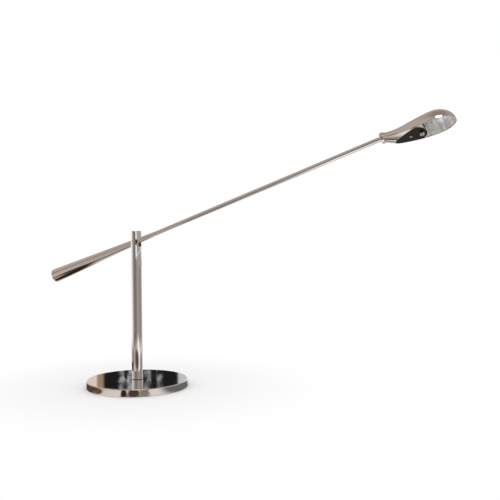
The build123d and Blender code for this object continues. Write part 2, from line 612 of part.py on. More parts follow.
def filament():
    """Coil across the capsule, drawn as a plain cylinder, on two stiff wires."""
    inner_end = GLASS_START + BULB_WALL
    coil_place = Pos(inner_end + FILAMENT_REACH, 0, 0)
    half = FILAMENT_LENGTH / 2
    made = coil_place * rod_y(FILAMENT_DIAMETER, -half, half)
    for side in (-1, 1):
        wire = rod_x(FILAMENT_WIRE, inner_end, inner_end + FILAMENT_REACH)
        made += Pos(0, side * (half - FILAMENT_WIRE / 2), 0) * wire
    return Pos(0, 0, -BULB_DROP) * made


# ---- Wires ----------------------------------------------------------------------------------------

def base_lead():
    """From the cord bushing, through the channel and under the nut, up into the stud."""
    low = FELT_THICKNESS + WIRE_DIAMETER
    points = [
        (-BASE_RADIUS + INLET_LENGTH + 4, INLET_HEIGHT),
        (-RECESS_DIAMETER / 2 - 4, INLET_HEIGHT),
        (-RECESS_DIAMETER / 2 + 10, low),
        (0, low),
        (0, lead_joint()),
    ]
    return twin_wire(points, [3 * WIRE_BEND, 3 * WIRE_BEND, WIRE_BEND])


def lead_joint():
    """Height in the stud where the base's wires meet the post's."""
    return FELT_THICKNESS + WIRE_DIAMETER + WIRE_BEND + WIRE_DIAMETER


def post_lead():
    top = SLOT_BOTTOM + SLOT_WIDTH / 4
    return twin_wire([(0, lead_joint()), (0, top)], None)


def wire_exit_point(below):
    """Place in the XZ plane of a point on the axis of the arm's exit hole."""
    tilt = math.radians(ARM_TILT)
    x = WIRE_EXIT * math.cos(tilt) + below * math.sin(tilt)
    z = PIVOT_HEIGHT + WIRE_EXIT * math.sin(tilt) - below * math.cos(tilt)
    return x, z


def pivot_lead():
    """Slack loop from the slot's floor into the underside of the arm."""
    tilt = math.radians(ARM_TILT)
    start = SLOT_BOTTOM + SLOT_WIDTH / 4
    inside = WIRE_EXIT + 2 * WIRE_TIGHT_BEND
    end = (inside * math.cos(tilt), PIVOT_HEIGHT + inside * math.sin(tilt))
    points = [
        (0, start),
        (0, start + LOOP_RISE),
        wire_exit_point(LOOP_DROP),
        wire_exit_point(0),
        end,
    ]
    return twin_wire(points, [4 * WIRE_BEND, 1.6 * WIRE_BEND, WIRE_TIGHT_BEND])


def arm_lead():
    start = WIRE_EXIT + 2 * WIRE_TIGHT_BEND
    return twin_wire([(start, 0), (ROD_END - 1, 0)], None)


def head_lead():
    """From the end of the rod to the back of the lamp holder."""
    start = NECK_LENGTH - 1
    points = [
        (start, 0),
        (start + 11, 0),
        (HOLDER_START - 11, -BULB_DROP),
        (HOLDER_START, -BULB_DROP),
    ]
    return twin_wire(points, [2 * WIRE_BEND, 2 * WIRE_BEND])


def placed(place, made):
    """Puts one solid, or each of a group, where it belongs."""
    if isinstance(made, list):
        return Compound(children=[place * item for item in made])
    return place * made


HERE = Location((0, 0, 0))
PIECES = [
    ("base_cover", HERE, base_cover),
    ("base_weight", HERE, base_weight),
    ("felt_pad", HERE, felt_pad),
    ("cord_bushing", HERE, cord_bushing),
    ("swivel_bush", HERE, swivel_bush),
    ("glide_washer", HERE, glide_washer),
    ("stop_pin", HERE, stop_pin),
    ("base_lead", HERE, base_lead),
    ("swivel_stud", HERE, swivel_stud),
    ("wave_washer", HERE, wave_washer),
    ("tab_washer", HERE, tab_washer),
    ("swivel_nut", HERE, swivel_nut),
    ("post_foot", HERE, post_foot),
    ("post_tube", HERE, post_tube),
    ("fork", HERE, fork),
    ("pivot_screw", HERE, pivot_screw),
    ("pivot_nut", HERE, pivot_nut),
    ("pivot_washers", HERE, pivot_washers),
    ("post_lead", HERE, post_lead),
    ("pivot_lead", HERE, pivot_lead),
    ("counterweight", ARM_PLACE, counterweight),
    ("lead_grommet", ARM_PLACE, lead_grommet),
    ("arm_rod", ARM_PLACE, arm_rod),
    ("neck_sleeve", ARM_PLACE, neck_sleeve),
    ("arm_lead", ARM_PLACE, arm_lead),
    ("neck_cup", HEAD_PLACE, neck_cup),
    ("neck_washer", HEAD_PLACE, neck_washer),
    ("retaining_ring", HEAD_PLACE, retaining_ring),
    ("hood", HEAD_PLACE, hood),
    ("liner", HEAD_PLACE, liner),
    ("cover_plate", HEAD_PLACE, cover_plate),
    ("strap", HEAD_PLACE, strap),
    ("lamp_holder", HEAD_PLACE, lamp_holder),
    ("strap_screw", HEAD_PLACE, strap_screw),
    ("thumb_screw", HEAD_PLACE, thumb_screw),
    ("bulb", HEAD_PLACE, bulb),
    ("bulb_pins", HEAD_PLACE, bulb_pins),
    ("filament", HEAD_PLACE, filament),
    ("head_lead", HEAD_PLACE, head_lead),
]

os.makedirs("parts", exist_ok=True)
for name, place, make in PIECES:
    export_step(placed(place, make()), f"parts/{name}.step")
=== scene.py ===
# %% [markdown]
# # A balance lamp in polished chrome
# The CAD model already holds every rigid piece of this lamp in its real place, so this lesson
# dresses it: a camera where the photographer stood, a showroom for the chrome to mirror, a
# finish for each material, three small pieces that the CAD model keeps plain, and two wires that
# it keeps stiff. The first lines bring the CAD model in as a fixed frame.

# %% Bring the CAD model in
import json
import math

import bmesh
import bpy
from mathutils import Matrix, Vector


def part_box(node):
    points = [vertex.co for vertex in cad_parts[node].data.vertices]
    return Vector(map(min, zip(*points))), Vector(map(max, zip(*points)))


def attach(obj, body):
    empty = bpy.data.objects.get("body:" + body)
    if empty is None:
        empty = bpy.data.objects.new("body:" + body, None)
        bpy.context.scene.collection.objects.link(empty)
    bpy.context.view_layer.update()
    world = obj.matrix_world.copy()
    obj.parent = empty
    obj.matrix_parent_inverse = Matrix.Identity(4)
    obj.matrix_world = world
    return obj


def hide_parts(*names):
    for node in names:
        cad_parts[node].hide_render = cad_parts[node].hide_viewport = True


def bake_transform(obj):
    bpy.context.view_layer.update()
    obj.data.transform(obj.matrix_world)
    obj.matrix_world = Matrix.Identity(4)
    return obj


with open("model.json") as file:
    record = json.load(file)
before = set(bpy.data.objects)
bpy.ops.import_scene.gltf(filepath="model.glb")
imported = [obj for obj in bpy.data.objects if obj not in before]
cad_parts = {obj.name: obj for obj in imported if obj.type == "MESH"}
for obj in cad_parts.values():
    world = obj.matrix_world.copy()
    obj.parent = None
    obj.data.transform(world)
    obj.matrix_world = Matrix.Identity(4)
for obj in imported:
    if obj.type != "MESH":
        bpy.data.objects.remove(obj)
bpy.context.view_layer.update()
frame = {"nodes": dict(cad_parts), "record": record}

nodes = frame["nodes"]

# %% [markdown]
# ## The camera
# The photograph shows the base as an ellipse, and its height against its width tells how far the
# camera looks down. The same ellipse gives the distance, and the arm's slope and its growth
# towards the hood give the side that the camera stands on. The angles are kept here as a
# photographer would say them: how far round the lamp, how far back, how high, and how far the
# camera is panned, tipped and rolled.

# %% Set up the camera
CAMERA_ROUND = 36.0        # degrees round the lamp from its front, towards the hood
CAMERA_BACK = 1.598        # metres from the middle of the base
CAMERA_HEIGHT = 0.335
CAMERA_PAN = 8.26          # degrees to the right of the base
CAMERA_TIP = 2.16          # degrees down
CAMERA_ROLL = -0.31
FOCAL_SHARE = 1.57         # focal length as a share of the picture's width


def turn(degrees, axis):
    """Rotation matrix about one axis."""
    return Matrix.Rotation(math.radians(degrees), 4, axis)


camera_data = bpy.data.cameras.new("camera")
camera_data.sensor_width = 36.0
camera_data.lens = FOCAL_SHARE * camera_data.sensor_width
camera_data.clip_start = 0.05
camera_data.clip_end = 60.0
camera = bpy.data.objects.new("camera", camera_data)
bpy.context.scene.collection.objects.link(camera)
stand = turn(CAMERA_ROUND, "Z") @ Vector((0, -CAMERA_BACK, CAMERA_HEIGHT))
aim = turn(CAMERA_ROUND - CAMERA_PAN, "Z") @ turn(90 - CAMERA_TIP, "X") @ turn(CAMERA_ROLL, "Z")
camera.matrix_world = Matrix.Translation(stand) @ aim
bpy.context.scene.camera = camera
bpy.context.scene.view_settings.view_transform = "Standard"
print("camera at", [round(v, 3) for v in stand], "lens", round(camera_data.lens, 1), "mm")

# %% [markdown]
# ## Writing shader maths as Python
# A procedural finish is arithmetic on patterns, and a tree of Math nodes is hard to read. This
# small class wraps one socket, so that `1 - mask * 0.3` adds the two Math nodes by itself. The
# bench below it adds any other node in one call: first its settings, then its inputs. Its last
# methods are the patterns that the finishes are made of.

# %% A socket that can be added, multiplied and compared
class Signal:
    """One number, colour or vector in a node tree."""

    def __init__(self, bench, socket):
        self.bench = bench
        self.socket = socket

    def maths(self, operation, *values):
        return self.bench.add("ShaderNodeMath", {"operation": operation}, dict(enumerate(values)))

    def __add__(self, other):
        return self.maths("ADD", self, other)

    def __radd__(self, other):
        return self.maths("ADD", other, self)

    def __sub__(self, other):
        return self.maths("SUBTRACT", self, other)

    def __rsub__(self, other):
        return self.maths("SUBTRACT", other, self)

    def __mul__(self, other):
        return self.maths("MULTIPLY", self, other)

    def __rmul__(self, other):
        return self.maths("MULTIPLY", other, self)

    def __truediv__(self, other):
        return self.maths("DIVIDE", self, other)


class Bench:
    """Where one node tree is put together."""

    def __init__(self, tree):
        self.tree = tree
        tree.nodes.clear()

    def add(self, kind, settings=None, inputs=None, output=0):
        """Adds a node: its settings, then its inputs. Returns one output, or all of them."""
        node = self.tree.nodes.new(kind)
        for name, value in (settings or {}).items():
            if name == "stops":
                self.lay_stops(node.color_ramp.elements, value)
            else:
                setattr(node, name, value)
        for name, value in (inputs or {}).items():
            if isinstance(value, Signal):
                self.tree.links.new(value.socket, node.inputs[name])
            else:
                node.inputs[name].default_value = value
        if output == "all":
            return [Signal(self, socket) for socket in node.outputs]
        return Signal(self, node.outputs[output]) if node.outputs else None

    def lay_stops(self, elements, stops):
        """Puts the stops of a colour ramp in place, each a position and a colour."""
        while len(elements) < len(stops):
            elements.new(1.0)
        for element, (position, colour) in zip(elements, stops):
            element.position = position
            element.color = colour

    def mix(self, share, first, second):
        """A colour between two others. A Mix node keeps its colours in sockets 6, 7 and 2."""
        settings = {"data_type": "RGBA"}
        return self.add("ShaderNodeMix", settings, {0: share, 6: first, 7: second}, 2)

    def ramp(self, value, low, high, to_low=0.0, to_high=1.0):
        """Smooth step: one value below low, another above high."""
        inputs = {"Value": value, "From Min": low, "From Max": high,
                  "To Min": to_low, "To Max": to_high}
        return self.add("ShaderNodeMapRange", {"interpolation_type": "SMOOTHSTEP"}, inputs)

    def between(self, value, low, high, soft):
        """1 between two values and 0 outside them, with soft ends."""
        rising = self.ramp(value, low - soft, low + soft)
        return rising * (1 - self.ramp(value, high - soft, high + soft))

    def noise(self, place, scale, detail=2.0):
        """Soft cloudy pattern of so many patches to the metre."""
        inputs = {"Vector": place, "Scale": scale, "Detail": detail}
        return self.add("ShaderNodeTexNoise", inputs=inputs)

    def lines(self, along, scale, detail=2.0):
        """Pattern of lines that lie across one direction, so many to the metre."""
        inputs = {"W": along, "Scale": scale, "Detail": detail}
        return self.add("ShaderNodeTexNoise", {"noise_dimensions": "1D"}, inputs)

    def moved(self, place, kind="POINT", centre=(0, 0, 0), angles=(0, 0, 0), scale=(1, 1, 1)):
        """A place seen from a centre, turned by angles in degrees and stretched."""
        turned = tuple(math.radians(angle) for angle in angles)
        inputs = {"Vector": place, "Location": centre, "Rotation": turned, "Scale": scale}
        return self.add("ShaderNodeMapping", {"vector_type": kind}, inputs)


def rgb(hexadecimal):
    """Linear colour from a web colour."""
    parts = [int(hexadecimal[i:i + 2], 16) / 255 for i in (0, 2, 4)]
    return tuple(((c + 0.055) / 1.055) ** 2.4 if c > 0.04045 else c / 12.92 for c in parts) + (1.0,)


print("shader bench ready")

# %% [markdown]
# ## The showroom that the chrome mirrors
# Polished chrome has no colour of its own. In an all-white room it would vanish against the
# white background, and its edges only read because something darker stands around it. So the
# camera, and the light on painted pieces, see plain white, while mirror rays see a showroom: a
# pale side on the left, stone and brown walls on the right and behind the camera, a tall window,
# an open doorway, a darker ceiling, and one black panel behind the lamp, which the flat top of
# the base mirrors. Each is told by its bearing, in degrees to the right of the way the camera
# looks, and by its rise, in degrees above the horizon.

# %% Paint the walls of the showroom
WHITE = (1.0, 1.0, 1.0, 1.0)
FILL_LIGHT = (0.93, 0.93, 0.93, 1.0)       # what lights the dull surfaces
WALL_TOP = (5, 20)                         # where the walls turn into the upper room
CEILING_EDGE = (48, 74)
TOP_MIRRORS = (4, 22)                      # the rise that the flat top of the base mirrors
WALLS = [(-180, "8f857b"), (-150, "7d7268"), (-128, "8b8077"), (-105, "b3aaa2"), (-72, "ffffff"),
         (12, "fbf9f7"), (65, "b7aea5"), (95, "90857b"), (163, "a8a199"), (180, "8f857b")]


def walls(bench, bearing):
    """What stands round the lamp at table height, as one ramp over the bearing."""
    stops = [((at + 180) / 360, rgb(colour)) for at, colour in WALLS]
    return bench.add("ShaderNodeValToRGB", {"stops": stops}, {"Fac": (bearing + 180) / 360})


def bearing_of(across, away):
    """Degrees to the right of straight behind the lamp."""
    return across.maths("ARCTAN2", across, away) * (180 / math.pi)


world = bpy.data.worlds.new("showroom")
bpy.context.scene.world = world
world.use_nodes = True
room = Bench(world.node_tree)
everywhere = room.add("ShaderNodeTexCoord", output="Generated")
direction = room.moved(everywhere, angles=(0, 0, -CAMERA_ROUND))
across, away, upward = room.add("ShaderNodeSeparateXYZ", inputs={0: direction}, output="all")
bearing = bearing_of(across, away)
rise = upward.maths("ARCSINE", upward) * (180 / math.pi)


def panel(background, colour, bearings, rises, soft=4.0):
    """Lays one soft-edged panel over what is behind it."""
    share = room.between(bearing, *bearings, soft) * room.between(rise, *rises, soft)
    return room.mix(share, background, rgb(colour))


mirrored = room.mix(room.ramp(rise, *WALL_TOP), walls(room, bearing), rgb("a99b90"))
mirrored = panel(mirrored, "b5a89e", (-104, -20), (16, 50), soft=8.0)       # the left wall, lit
mirrored = room.mix(room.ramp(rise, *CEILING_EDGE), mirrored, rgb("8f8174"))
mirrored = panel(mirrored, "907464", (-103, -84), (14, 25), soft=3.0)       # a brown board
mirrored = panel(mirrored, "fffdfa", (-179, -136), (49, 63), soft=2.5)      # a tall window
mirrored = panel(mirrored, "4a3d3d", (-172, -124), (1, 10))                 # an open doorway
mirrored = panel(mirrored, "ded2c7", (-14, -2.9), TOP_MIRRORS, soft=0.3)    # beside the panel
mirrored = panel(mirrored, "9f8467", (-2.9, -2.4), TOP_MIRRORS, soft=0.1)   # its tan edge
mirrored = panel(mirrored, "c3c6cc", (2.9, 12), TOP_MIRRORS, soft=0.3)
mirrored = panel(mirrored, "1d1c1c", (-2.45, 2.95), TOP_MIRRORS, soft=0.12)
print("showroom painted, with", len(world.node_tree.nodes), "nodes")

# %% [markdown]
# ## Sorting the rays
# The black panel isn't even: three pale, speckled stripes stand on it. Then the world sorts its
# rays. A Light Path node tells which kind of ray asks, so mirror rays get the painted room, dull
# surfaces a soft even light, and the camera white.

# %% Speckle the black panel and sort the rays
STRIPES = [((-1.35, -0.3), 0.75), ((0.45, 0.95), 0.65), ((1.4, 1.8), 0.75)]  # bearings, strength
speckle = room.ramp(room.noise(direction, 150.0, 3.0), 0.46, 0.56)
stripe_rise = room.ramp(rise, 8, 10) * (1 - room.ramp(rise, 14, 17))
for bearings, strength in STRIPES:
    share = room.between(bearing, *bearings, 0.1) * stripe_rise * speckle * strength
    mirrored = room.mix(share, mirrored, rgb("b9b7b9"))

diffuse_ray = room.add("ShaderNodeLightPath", output="Is Diffuse Ray")
glossy_ray = room.add("ShaderNodeLightPath", output="Is Glossy Ray")
seen = room.mix(glossy_ray, room.mix(diffuse_ray, WHITE, FILL_LIGHT), mirrored)
backdrop = room.add("ShaderNodeBackground", inputs={"Color": seen, "Strength": 1.0})
room.add("ShaderNodeOutputWorld", inputs={"Surface": backdrop})
print("showroom has", len(world.node_tree.nodes), "nodes")

# %% [markdown]
# ## The table
# The floor is plain and pale and carries the lamp's soft shadow. Further off it fades into the
# white of the backdrop, so that no horizon crosses the picture. Mirror rays see a table top
# instead, pale near the lamp, with painted shadows of the base and the weight on it and a few
# other dark and tan patches, because the rim of the base and the underside of the weight are
# dark in places. Each is a soft-edged ellipse.

# %% Lay the floor
FLOOR_HALF = 12.0
SHADOW_FADES = (0.12, 0.42)        # metres from the lamp, to where the floor is plain white
TABLE_END = (0.40, 0.75)           # where the mirrored table turns into the walls
LEFT_TO_RIGHT = (-0.30, 0.0)       # over which the mirrored table grows paler
BRIGHT_SPOT = ((0.23, -0.33), (0.15, 0.36), 0)
# The painted shadows of the base and the weight, and the other patches on the table: centre and
# half size in metres, across and away from the camera, then the turn in degrees and the colour
SHADOWS_AND_PATCHES = [((-0.110, 0.320), (0.050, 0.150), 0, "8b847c"),
         ((-0.200, 0.115), (0.058, 0.160), -26, "261e19"),
         ((-0.380, -0.015), (0.150, 0.045), 14, "43382f"),
         ((-0.410, 0.034), (0.085, 0.036), 14, "a87c52"),
         ((-0.130, 0.000), (0.070, 0.075), 0, "54443c"),
         ((-0.106, -0.066), (0.022, 0.012), 0, "6f4630"),
         ((-0.040, -0.330), (0.220, 0.150), 0, "5d4f4c"),
         ((-0.550, -0.370), (0.140, 0.090), 0, "665a50"),
         ((0.300, -0.020), (0.150, 0.150), 0, "8a827b"),
         ((-0.049, -0.136), (0.010, 0.050), -31, "35231a"),
         ((-0.014, -0.145), (0.021, 0.050), -9, "4a3d32"),
         ((0.024, -0.144), (0.017, 0.048), 15, "877e6f"),
         ((0.125, -0.050), (0.062, 0.085), 0, "6b6966")]


def new_material(name):
    material = bpy.data.materials.new(name)
    material.use_nodes = True
    return material, Bench(material.node_tree)


def object_from(name, mesh_builder):
    """Makes an object at the origin from a bmesh that already holds its place."""
    mesh = bpy.data.meshes.new(name)
    mesh_builder.to_mesh(mesh)
    mesh_builder.free()
    made = bpy.data.objects.new(name, mesh)
    bpy.context.scene.collection.objects.link(made)
    return made


def object_place(bench):
    return bench.add("ShaderNodeTexCoord", output="Object")


def parts_of(bench, place):
    return bench.add("ShaderNodeSeparateXYZ", inputs={0: place}, output="all")


def length_of(bench, place):
    settings = {"operation": "LENGTH"}
    return bench.add("ShaderNodeVectorMath", settings, {0: place}, "Value")


def inside(bench, place, centre, half, angle, soft=0.35):
    """1 inside a soft-edged ellipse on the table, 0 outside."""
    squeezed = bench.moved(place, "TEXTURE", centre + (0,), (0, 0, angle), half + (1,))
    return 1 - bench.ramp(length_of(bench, squeezed), 1 - soft, 1 + soft)


def table_top(bench, spot):
    """The table as the chrome mirrors it, in the camera's directions."""
    place = bench.moved(spot, angles=(0, 0, -CAMERA_ROUND))
    across, away = parts_of(bench, place)[:2]
    near = bench.mix(bench.ramp(across, *LEFT_TO_RIGHT), rgb("b8ab9c"), rgb("e0d7d0"))
    tone = bench.mix(bench.ramp(length_of(bench, place), *TABLE_END), near,
                     walls(bench, bearing_of(across, away)))
    tone = bench.mix(inside(bench, place, *BRIGHT_SPOT), tone, WHITE)
    # Lays the painted shadows of the base and the weight, and the other patches, onto the mirrored
    # table.
    for centre, half, angle, colour in SHADOWS_AND_PATCHES:
        tone = bench.mix(inside(bench, place, centre, half, angle), tone, rgb(colour))
    return tone


floor_mesh = bmesh.new()
bmesh.ops.create_grid(floor_mesh, x_segments=1, y_segments=1, size=FLOOR_HALF)
floor = object_from("floor", floor_mesh)
floor_material, bench = new_material("floor")
spot = object_place(bench)
pale = bench.add("ShaderNodeBsdfDiffuse", inputs={"Color": (0.95, 0.95, 0.95, 1.0)})
white = bench.add("ShaderNodeEmission", inputs={"Color": WHITE, "Strength": 1.0})
table = bench.add("ShaderNodeEmission", inputs={"Color": table_top(bench, spot), "Strength": 1.0})
camera_ray = bench.add("ShaderNodeLightPath", output="Is Camera Ray")
glossy_ray = bench.add("ShaderNodeLightPath", output="Is Glossy Ray")
far_off = bench.ramp(length_of(bench, spot), *SHADOW_FADES) * camera_ray
fading = bench.add("ShaderNodeMixShader", inputs={0: far_off, 1: pale, 2: white})
both = bench.add("ShaderNodeMixShader", inputs={0: glossy_ray, 1: fading, 2: table})
bench.add("ShaderNodeOutputMaterial", inputs={"Surface": both})
floor.data.materials.append(floor_material)
print("table has", len(floor_material.node_tree.nodes), "nodes")

# %% [markdown]
# ## The lamp above the camera
# The world already lights everything evenly. One broad, weak area lamp high above the camera
# adds what an even light can't: a short white highlight on the crown of the hood. Its place was
# found by following the mirror ray from that spot on the hood back into the room.

# %% Hang the lamp
LAMP_SIZE = (1.1, 0.6)
LAMP_POWER = 5.0                   # watts
LAMP_PLACE = Vector((0.02, -1.51, 2.4))    # across, away and up, in the camera's directions
LAMP_AIM = Vector((0, 0, 0.25))

lamp = bpy.data.lights.new("window_lamp", "AREA")
lamp.shape = "RECTANGLE"
lamp.size, lamp.size_y = LAMP_SIZE
lamp.energy = LAMP_POWER
hung = bpy.data.objects.new("window_lamp", lamp)
hung.location = turn(CAMERA_ROUND, "Z") @ LAMP_PLACE
hung.rotation_euler = (LAMP_AIM - hung.location).to_track_quat("-Z", "Y").to_euler()
bpy.context.scene.collection.objects.link(hung)
print("lamp hangs at", [round(v, 2) for v in hung.location])

# %% [markdown]
# ## Finishes
# Each material of the CAD model's record gets its own small node tree, and the pieces that
# wear it are looked up in the record, so no piece can be forgotten. All patterns read Object
# coordinates, which are metres in the lamp's own frame. Only colour, roughness and bump vary.
# Where the arm lies comes from its two joints: the screw that it rocks on and the neck.

# %% Put a finish on its pieces
joint_at = {joint["name"]: Vector(joint["pos_m"])
            for joint in frame["record"]["behaviour"]["joints"]}
along_arm = joint_at["head_swivel"] - joint_at["arm_tilt"]
PIVOT_HEIGHT = joint_at["arm_tilt"].z
NECK_DISTANCE = along_arm.length           # from the pivot to the start of the head
ARM_TILT = math.degrees(math.atan2(along_arm.z, along_arm.x))
slot_of = {sub["node"]: sub["material_slot"] for sub in frame["record"]["subparts"]}
dressed = {}


def finish(name, build, pieces=None):
    """Builds one material and puts it on its pieces, or on all of the slot of its name."""
    material, bench = new_material(name)
    bench.add("ShaderNodeOutputMaterial", inputs={"Surface": build(bench)})
    undressed = [node for node in slot_of if node not in dressed]
    for node in pieces or [node for node in undressed if slot_of[node] == name]:
        mesh = nodes[node].data
        mesh.materials.clear()
        mesh.materials.append(material)
        dressed[node] = name


def arm_place(bench):
    """Object coordinates turned so that X runs along the arm from the pivot."""
    return bench.moved(object_place(bench), "TEXTURE", (0, 0, PIVOT_HEIGHT), (0, -ARM_TILT, 0))


def bump(bench, height, strength, distance):
    """Surface relief, its distance in metres."""
    inputs = {"Height": height, "Strength": strength, "Distance": distance}
    return bench.add("ShaderNodeBump", inputs=inputs)


def principled(bench, **inputs):
    """The all-round surface shader. Its sockets are named with _ for a space."""
    named = {name.replace("_", " "): value for name, value in inputs.items()}
    return bench.add("ShaderNodeBsdfPrincipled", inputs=named)


print(len(slot_of), "pieces to dress in", len(set(slot_of.values())), "finishes, arm tilted",
      round(ARM_TILT, 2), "degrees")

# %% [markdown]
# ## Chrome
# Chrome plate is a true mirror, so its detail is small: the haze that a cloth leaves, dust,
# and the faint trace of how the metal under it was worked. The base and the fork were spun or
# turned about the post, so their marks are rings, and the weight's rings go round the arm. The
# tubes were drawn, so theirs run lengthwise. The pressed hood has no lines, only a slow ripple.

# %% Chrome
CLEAN_PLATE = (0.84, 0.84, 0.85, 1.0)
WARM_PLATE = (0.90, 0.895, 0.89, 1.0)
DUST = (0.55, 0.53, 0.50, 1.0)


def rings_about_post(bench):
    """Grows outwards and upwards, so lines across it are rings round the post."""
    x, y, z = parts_of(bench, object_place(bench))
    squared = x * x + y * y
    return squared.maths("SQRT", squared) + z


def rings_about_arm(bench):
    """Grows along the arm, so lines across it are rings round the arm."""
    return parts_of(bench, arm_place(bench))[0]


def mirror_plate(bench, relief, haze_scale=28.0):
    """Chrome with a cloth's haze and dust over a given relief."""
    place = object_place(bench)
    haze = bench.noise(place, haze_scale, 5.0)
    dust = bench.ramp(bench.noise(place, 900.0, 1.0), 0.70, 0.76)
    tint = bench.mix(bench.noise(place, 6.0), CLEAN_PLATE, WARM_PLATE)
    tint = bench.mix(dust * 0.35, tint, DUST)
    rough = bench.ramp(haze, 0.38, 0.72, 0.018, 0.055) + dust * 0.12
    return principled(bench, Base_Color=tint, Metallic=1.0, Roughness=rough, Normal=relief)


def turned_chrome(rings):
    """Fine lathe rings under the plate."""
    def build(bench):
        return mirror_plate(bench, bump(bench, bench.lines(rings(bench), 2500.0), 0.5, 0.0000015))
    return build


def drawn_chrome(place, stretch):
    """Hair-fine lines that run along a drawn tube."""
    def build(bench):
        streaks = bench.noise(bench.moved(place(bench), scale=stretch), 1.0, 2.0)
        return mirror_plate(bench, bump(bench, streaks, 0.5, 0.000002))
    return build


def pressed_chrome(bench):
    ripple = bench.noise(object_place(bench), 45.0, 1.0)
    return mirror_plate(bench, bump(bench, ripple, 0.6, 0.00004), haze_scale=20.0)


finish("chrome_base", turned_chrome(rings_about_post), ["base_cover", "fork"])
finish("chrome_weight", turned_chrome(rings_about_arm), ["counterweight"])
finish("chrome_post", drawn_chrome(object_place, (700, 700, 9)), ["post_tube"])
finish("chrome_rod", drawn_chrome(arm_place, (9, 900, 900)), ["arm_rod"])
finish("chrome_hood", pressed_chrome, ["hood", "neck_cup"])
finish("chrome", pressed_chrome)
print("chrome on", sum(name.startswith("chrome") for name in dressed.values()), "pieces")

# %% [markdown]
# ## Bright, cast, turned and plated metals
# The bowl inside the hood is bright sheet under a white lacquer, pressed in shallow flutes: it
# throws light forward, but its satin skin blurs what it mirrors. The weight in the base is
# sand-cast iron under thin paint, so it is coarse. Zinc plate on the hidden hardware is cloudy,
# with faint yellow in it, and the brass and bronze pieces show their lathe rings and darken in
# patches.

# %% Metals
def satin_sheet(bench):
    cloud = bench.noise(object_place(bench), 30.0, 3.0)
    flutes_and_reflection = bench.lines(rings_about_arm(bench), 190.0, 1.0)
    # The grey bands in the base colour are a painted reflection along the pressed ridges; the white
    # is the lacquer.
    tone = bench.mix(bench.ramp(flutes_and_reflection, 0.40, 0.60), rgb("dcdce0"), rgb("fdfcf8"))
    rough = bench.ramp(cloud, 0.3, 0.7, 0.20, 0.28)
    return principled(bench, Base_Color=tone, Metallic=0.45, Roughness=rough,
                      Normal=bump(bench, flutes_and_reflection, 0.5, 0.0004))


def sand_cast(bench):
    place = object_place(bench)
    sand = bench.noise(place, 650.0, 6.0)
    pits = bench.ramp(bench.noise(place, 240.0, 2.0), 0.28, 0.42)
    tone = bench.mix(pits * bench.ramp(sand, 0.3, 0.7), rgb("1f1f20"), rgb("4d4c4b"))
    rough = bench.ramp(sand, 0.3, 0.7, 0.55, 0.8)
    return principled(bench, Base_Color=tone, Metallic=0.4, Roughness=rough,
                      Normal=bump(bench, sand * 0.4 + pits, 0.8, 0.0003))


def zinc_plate(bench):
    place = object_place(bench)
    bloom = bench.noise(place, 160.0, 3.0)
    spangle = bench.add("ShaderNodeTexVoronoi", inputs={"Vector": place, "Scale": 900.0})
    tone = bench.mix(bench.ramp(bloom, 0.35, 0.7), rgb("b4b8be"), rgb("c6c3b4"))
    tone = bench.mix(spangle * 0.25, tone, rgb("8d9197"))
    rough = bench.ramp(bloom, 0.3, 0.7, 0.22, 0.38)
    return principled(bench, Base_Color=tone, Metallic=1.0, Roughness=rough,
                      Normal=bump(bench, spangle, 0.3, 0.00002))


def turned_metal(fresh, dull, roughness):
    """Bare metal off a lathe, going dull in patches."""
    def build(bench):
        dulled = bench.ramp(bench.noise(object_place(bench), 120.0, 4.0), 0.42, 0.66)
        rings = bench.lines(rings_about_post(bench), 4000.0)
        tone = bench.mix(dulled, rgb(fresh), rgb(dull))
        rough = dulled * 0.18 + rings * 0.06 + roughness
        return principled(bench, Base_Color=tone, Metallic=1.0, Roughness=rough,
                          Normal=bump(bench, rings, 0.4, 0.000008))
    return build


finish("reflector_metal", satin_sheet)
finish("cast_iron", sand_cast)
finish("zinc_steel", zinc_plate)
finish("bronze", turned_metal("b0803f", "6f5231", 0.26))
finish("brass", turned_metal("d3b05c", "96773c", 0.18))
finish("bulb_metal", turned_metal("9b9a9c", "6b6a6c", 0.18))
print("dressed so far", len(dressed))

# %% [markdown]
# ## Enamel, glaze, plastic, rubber, felt and glass
# None of these mirrors much, so each is told by its skin. Satin black enamel has a fine orange
# peel and a few rubbed spots, glazed ceramic has specks under a hard gloss, moulded nylon and
# the wires' sheath are even with a faint grain, rubber is dull with a dusty bloom, and felt is
# a mat of fibres. The bulb is clear quartz, which only needs a ripple and a true refraction.

# %% Painted and moulded finishes
def skin(low, high, roughness, grain_scale, grain_depth, patch_scale=60.0, **constants):
    """A coat whose tone drifts between two colours over a fine grain."""
    def build(bench):
        place = object_place(bench)
        patch = bench.noise(place, patch_scale, 4.0)
        grain = bench.noise(place, grain_scale, 3.0)
        tone = bench.mix(bench.ramp(patch, 0.35, 0.65), rgb(low), rgb(high))
        rough = bench.ramp(patch + grain * 0.5, 0.5, 1.0, roughness * 0.8, roughness * 1.25)
        return principled(bench, Base_Color=tone, Roughness=rough,
                          Normal=bump(bench, grain, 0.5, grain_depth), **constants)
    return build


def glazed_ceramic(bench):
    place = object_place(bench)
    specks = bench.ramp(bench.noise(place, 1400.0, 1.0), 0.68, 0.74)
    tone = bench.mix(bench.noise(place, 90.0, 3.0), rgb("e4d9c2"), rgb("efe7d6"))
    tone = bench.mix(specks, tone, rgb("a8977c"))
    return principled(bench, Base_Color=tone, Roughness=specks * 0.2 + 0.16,
                      Normal=bump(bench, bench.noise(place, 260.0), 0.4, 0.00003))


